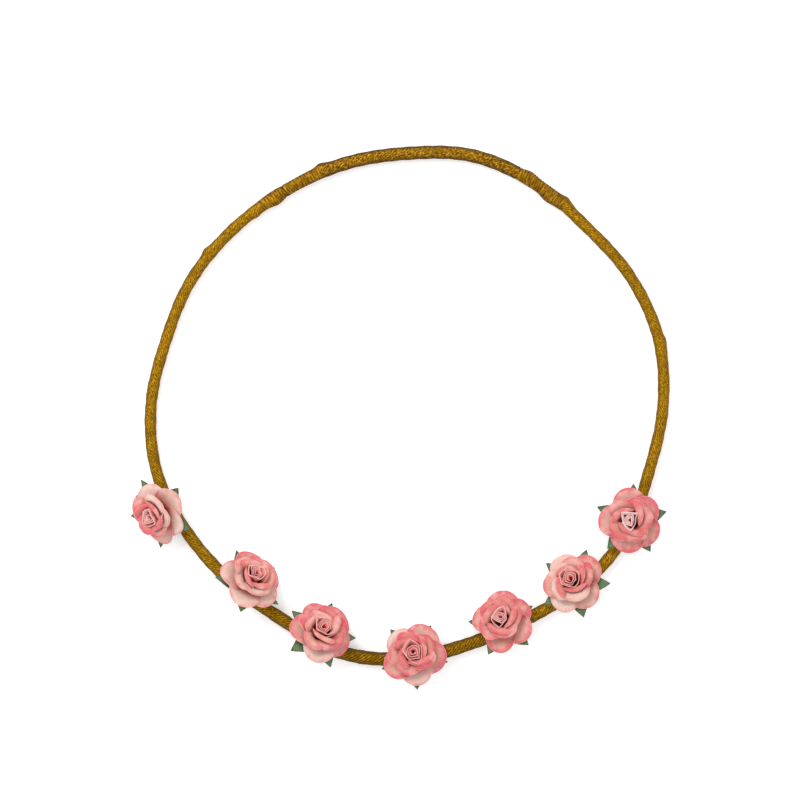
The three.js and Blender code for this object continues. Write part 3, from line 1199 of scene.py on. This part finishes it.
@dataclass
class Band:
    """The thread-covered cord, its elastic back and the two wrapped splices."""

    frame: dict
    loop_radius: float = 82.0
    bulge: tuple[float, ...] = (
        1.0, 2.4, 1.7, 0.2, 1.3, 1.9, -0.1, -0.9, -1.8, -1.6, -1.0, -1.0,
        1.0, 1.9, 0.2, -1.3, -1.8, 0.7, -0.1, -2.3, -2.7, -0.7, 0.2, -0.7,
    )
    cord_radius: float = 1.85
    front_swell: float = 0.36
    elastic_radius: float = 2.12
    core_radius: float = 0.8
    elastic_middle: float = 87.5
    elastic_length: float = 64.4
    left_splice: float = 23.6
    right_splice: float = 18.6
    binding_radius: float = 2.08
    flex_reach: float = 7.0
    step: float = 0.24
    tucked: float = 0.4  # degrees that a tube runs on into its neighbour
    front_middle: float = 265.0
    front_reach: float = 42.0
    strand_height: float = 0.07
    winding_height: float = 0.1
    parting_depth: float = 0.22
    parting_reach: float = 0.4
    lap_aside: float = 0.98
    lap_run: float = 6.0

    def __post_init__(self) -> None:
        """Finds the middle of the loop and the two splices' mouths."""
        hinge = self.joint("band_spread")
        self.hinge = Vector(hinge["pos_m"])
        at = self.angle_from_middle()
        self.middle = self.hinge - Vector(self.loop(np.array([at]))[0] * MM)
        half = math.degrees(self.elastic_length / 2 / self.loop_radius)
        self.left_mouth = self.elastic_middle + half
        self.left_end = self.left_mouth + math.degrees(self.left_splice / self.loop_radius)
        self.right_mouth = self.elastic_middle - half
        self.right_end = self.right_mouth - math.degrees(self.right_splice / self.loop_radius)

    def joint(self, name: str) -> dict:
        """The frame's joint of that name."""
        return next(j for j in self.frame["joints"] if j["name"] == name)

    def angle_from_middle(self) -> float:
        """The hinge's direction from the loop's middle, in degrees.

        Returns:
            The direction, from 0 to 360.
        """
        mount = next(m for m in self.frame["record"]["mounts"] if m["name"] == "head_opening")
        gap = self.hinge - Vector(mount["pos_m"])
        return math.degrees(math.atan2(gap.y, gap.x)) % 360

    def loop(self, angle: Array, offset: Array | float = 0.0) -> Array:
        """Points of the cord's centre line at these angles, in mm from the loop's middle.

        Args:
            angle: The angles, in degrees.
            offset: How far outside the centre line they lie.

        Returns:
            The points, with a last axis of 3.
        """
        count = len(self.bulge)
        place = angle / 360 * count
        first = np.floor(place).astype(int)
        t = place - first
        table = np.array(self.bulge)
        p = [table[(first + k) % count] for k in (-1, 0, 1, 2)]
        slope_a, slope_b = (p[2] - p[0]) / 2, (p[3] - p[1]) / 2
        swell = (2 * t**3 - 3 * t**2 + 1) * p[1] + (t**3 - 2 * t**2 + t) * slope_a
        swell = swell + (3 * t**2 - 2 * t**3) * p[2] + (t**3 - t**2) * slope_b
        radius = self.loop_radius + swell + offset
        turn = np.radians(angle)
        return xyz(radius * np.cos(turn), radius * np.sin(turn), 0.0)

    def stretch(self, start: float, end: float, step: float) -> Array:
        """Angles along the loop, step mm apart, from start to end in degrees."""
        count = max(3, int(round(math.radians(end - start) * self.loop_radius / step)))
        return np.linspace(start, end, count + 1)

    def build_tube(
        self,
        name: str,
        angles: Array,
        radius: Array,
        sides: int,
        offset: Array | float = 0.0,
        extra_shade: Array | float = 0.0,
    ) -> Piece:
        """Builds a round tube along the loop, with its "lay" mark.

        Args:
            name: The piece's name.
            angles: Angles along the loop.
            radius: Radius at each angle, or at each angle and side.
            sides: Number of points round it.
            offset: How far it lies outside the centre line.
            extra_shade: How much extra painted shade the thread's finish lays at each angle, from 0 to
                1.

        Returns:
            The piece.
        """
        path = self.loop(angles, offset)
        draft = laid_tube(path, radius, sides, np.array([0.0, 0.0, 1.0]), extra_shade)
        return draft.build(name, Matrix.Translation(self.middle))

    def keep(self, piece: Piece, finish: Material, slot: str, *nodes: str) -> None:
        """Dresses a piece of the band, hides the nodes that it stands for and reports it.

        Args:
            piece: The piece.
            finish: Its material.
            slot: Not used.
            nodes: The nodes of the frame.
        """
        dress(piece, finish)
        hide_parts(*nodes)
        log.info("%s: %d points", piece.name, len(piece.data.vertices))

    def strand_relief(self, angles: Array, sides: int, thread: GoldThread) -> Array:
        """Relief of slanting strands that lie as in the thread's finish, between 0 and 1.

        Args:
            angles: Angles along the loop.
            sides: Number of points round the tube.
            thread: The finish.

        Returns:
            Array of angles by sides.
        """
        along = np.radians(angles - angles[0])[:, None] * self.loop_radius
        turn = np.arange(sides)[None, :] / sides
        wander = 0.3 * np.sin(along * 0.37) + 0.25 * np.sin(along * 0.9 + turn * TAU)
        round_it = turn * thread.strands * thread.lay.value
        return np.abs(np.sin(math.pi * (round_it + along / thread.pitch + wander)))

    def lumpiness(self, angles: Array, sides: int) -> Array:
        """How far the lumps raise the surface at each angle and side, in mm.

        Args:
            angles: Angles along the loop.
            sides: Number of points round the tube.

        Returns:
            Array of angles by sides.
        """
        turn = np.arange(sides)[None, :] * TAU / sides
        rise = np.zeros((len(angles), sides))
        for lump in LUMPS:
            apart = np.radians(angles - lump.angle) * self.loop_radius / lump.length
            facing = np.clip(0.25 + 0.75 * lump.side.value * np.cos(turn), 0, 1)
            rise += lump.rise * np.exp(-(apart**2))[:, None] * facing
        return rise

    def build_cord(self, thread: Material) -> None:
        """Builds the covered cord from one splice round the front to the other.

        Args:
            thread: Its material.
        """
        angles = self.stretch(self.left_end - self.tucked, 360 + self.right_end + self.tucked, self.step)
        sides = TUBE_SIDES
        front = np.exp(-(((angles - self.front_middle) / self.front_reach) ** 2))
        radius = self.cord_radius + self.front_swell * front
        wobble = 0.05 * np.sin(angles * 0.9) + 0.04 * np.sin(angles * 2.3 + 1)
        relief = self.strand_height * self.strand_relief(angles, sides, CORD_THREAD) - 0.02
        bumps = self.lumpiness(angles, sides) + self.lumpiness(angles - 360, sides)
        radius = (radius + wobble)[:, None] + relief + bumps
        # Painted shade: the front of the cord takes extra shade in its hollows and on its flanks.
        piece = self.build_tube("covered_cord", angles, radius, sides, extra_shade=front)
        self.keep(piece, thread, "gold_thread", "cord_sleeve_left", "cord_sleeve_right")
        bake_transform(piece)

    def lap_shift(self, depth_angle: Array) -> Array:
        """How far a core lies aside at that angle inside a splice."""
        depth = np.radians(depth_angle) * self.loop_radius
        return self.lap_aside * smooth(depth, 0.0, self.lap_run)

    def build_elastic(self, thread: Material, rubber: Material) -> None:
        """Builds the covered elastic and its rubber core, which stretch between the splices.

        Args:
            thread: The cover's material.
            rubber: The core's material.
        """
        angles = self.stretch(self.right_mouth - self.tucked, self.left_mouth + self.tucked, self.step)
        sides = TUBE_SIDES
        wobble = self.elastic_radius + 0.05 * np.sin(angles * 1.7)
        relief = self.strand_height * self.strand_relief(angles, sides, ELASTIC_THREAD)
        radius = wobble[:, None] + relief + self.lumpiness(angles, sides)
        cover = self.build_tube("covered_elastic", angles, radius, sides)
        self.keep(cover, thread, "gold_thread", "elastic_sleeve")
        lap = math.degrees(6.3 / self.loop_radius)
        inner = self.stretch(self.right_end + lap, self.left_end - lap, 1.0)
        aside = -self.lap_shift(np.maximum(self.right_mouth - inner, inner - self.left_mouth))
        core = self.build_tube("elastic_strand", inner, np.full(len(inner), self.core_radius), 16, aside)
        self.keep(core, rubber, "rubber_core", "elastic_core")
        start = self.middle + Vector(self.loop(np.array([self.left_mouth]))[0] * MM)
        end = self.middle + Vector(self.loop(np.array([self.right_mouth]))[0] * MM)
        for piece in (cover, core):
            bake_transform(piece)

    def build_splice(self, half: Half, start: float, end: float, thread: Material) -> None:
        """Winds binding thread over one lapped splice.

        Args:
            half: The half of the band that it is on.
            start: Where it starts round the loop, in degrees.
            end: Where it ends.
            thread: Its material.
        """
        angles = self.stretch(start, end, 0.14)
        sides = TUBE_SIDES
        share = (angles - angles[0]) / (angles[-1] - angles[0])
        mouth = 0.5 + 0.5 * np.cos(TAU * share)
        radius = self.binding_radius - 0.1 * mouth**4 + 0.08 * np.sin(share * 9.0 + 1)
        winding = self.winding_height * (self.strand_relief(angles, sides, BINDING_THREAD) - 0.5)
        radius = radius[:, None] + winding + self.lumpiness(angles, sides)
        parting = sum(np.exp(-(((angles - at) / self.parting_reach) ** 2)) for at in PARTINGS)
        radius = radius - self.parting_depth * parting[:, None]
        name = f"splice_winding_{half.value}"
        # Painted shade: the partings of the winding take extra shade in their hollows and on their
        # flanks.
        piece = self.build_tube(name, angles, radius, sides, extra_shade=1.4 * parting)
        self.keep(piece, thread, "gold_binding", f"splice_binding_{half.value}")
        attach(piece, f"band_{half.value}")

    def build(self, finishes: Finishes) -> None:
        """Builds the whole band and dresses the cotton cores that the frame holds.

        Args:
            finishes: The materials by name.
        """
        self.build_cord(finishes["cord"])
        self.build_elastic(finishes["elastic"], finishes["rubber"])
        self.build_splice(Half.LEFT, self.left_mouth, self.left_end, finishes["binding"])
        self.build_splice(Half.RIGHT, self.right_end, self.right_mouth, finishes["binding"])
        for half in Half:
            core = self.frame["nodes"][f"cord_core_{half.value}"]
            core.data.materials.clear()
            core.data.materials.append(finishes["cotton"])


def rose_place(joint: dict) -> tuple[Matrix, float]:
    """Where a rose stands, from its joint.

    Args:
        joint: The joint about the cord. Its range is even about upright, so the middle
            of the range says how far the rose leans at rest.

    Returns:
        The rose's frame, X along the cord and Z up the stem, and the cord's direction
        there in degrees.
    """
    along = Vector(joint["axis"]).normalized()
    inward = Vector((0, 0, 1)).cross(along)
    upright = Matrix((along, inward, Vector((0, 0, 1)))).transposed()
    low, high = joint["range_deg"]
    lean = Matrix.Rotation(math.radians(-(low + high) / 2), 3, along)
    place = (lean @ upright).to_4x4()
    place.translation = Vector(joint["pos_m"])
    return place, math.degrees(math.atan2(along.y, along.x))


# The studio ------------------------------------------------------------------


@dataclass
class Studio:
    """A pale floor, soft lights and a camera straight above."""

    middle: Vector
    span: float = 0.2594
    distance: float = 1.5
    aim: tuple[float, float] = (-0.00226, 0.00194)
    sky: float = 0.86
    key_watts: float = 4.4
    fill_watts: float = 0.8
    floor_glow: float = 0.3

    def build(self) -> None:
        """Puts up the floor, the lights and the camera."""
        scene = bpy.context.scene
        self.build_floor()
        self.build_light("key", (-0.35, 0.45, 0.75), 0.5, self.key_watts)
        self.build_light("fill", (0.6, -0.3, 0.7), 0.7, self.fill_watts)
        world = bpy.data.worlds.new("studio")
        world.use_nodes = True
        background = world.node_tree.nodes["Background"].inputs
        background["Color"].default_value = (1.0, 1.0, 1.0, 1.0)
        background["Strength"].default_value = self.sky
        scene.world = world
        scene.view_settings.view_transform = "Standard"
        lens = bpy.data.cameras.new("camera")
        lens.sensor_width = 36.0
        lens.lens = 36.0 * (self.distance - self.middle.z) / self.span
        camera = bpy.data.objects.new("camera", lens)
        camera.location = (self.middle.x + self.aim[0], self.middle.y + self.aim[1], self.distance)
        scene.collection.objects.link(camera)
        scene.camera = camera

    def build_floor(self) -> None:
        """Lays a plain pale floor under the crown."""
        draft = Draft()
        line = np.linspace(-3000.0, 3000.0, 2)
        x, y = np.meshgrid(line, line)
        draft.add_grid(xyz(x, y, 0.0))
        floor = draft.build("floor", Matrix.Identity(4))
        sketch = Sketch("floor")
        grain = sketch.noise(sketch.place(), 60.0)
        base = sketch.mix(sketch.step(grain, 0.3, 0.7), "fbfbfb", "fdfdfd")
        rough = sketch.step(grain, 0.2, 0.8, 0.8, 0.9)
        floor.data.materials.append(sketch.finish(base, rough, Emission_Strength=self.floor_glow))

    def build_light(
        self, name: str, at: tuple[float, float, float], size: float, watts: float
    ) -> None:
        """Hangs one square soft light that faces the crown.

        Args:
            name: The light's name.
            at: Its place in metres.
            size: Its width in metres.
            watts: Its power.
        """
        lamp = bpy.data.lights.new(name, "AREA")
        lamp.size = size
        lamp.energy = watts
        light = bpy.data.objects.new(name, lamp)
        light.location = at
        light.rotation_euler = (-Vector(at)).to_track_quat("-Z", "Y").to_euler()
        bpy.context.scene.collection.objects.link(light)


def main() -> None:
    """Builds the crown round its frame."""
    logging.basicConfig(level=logging.INFO, format="%(name)s: %(message)s")
    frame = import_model()
    band = Band(frame)
    Studio(band.middle).build()
    finishes = {key: recipe.build() for key, recipe in RECIPES.items()}
    band.build(finishes)
    for number, look in enumerate(ROSE_LOOKS, start=1):
        place, heading = rose_place(band.joint(f"rose_{number}_roll"))
        Rose(number, look, place, heading, SLEEVE_RADIUS).build(finishes)


if __name__ == "__main__":
    main()
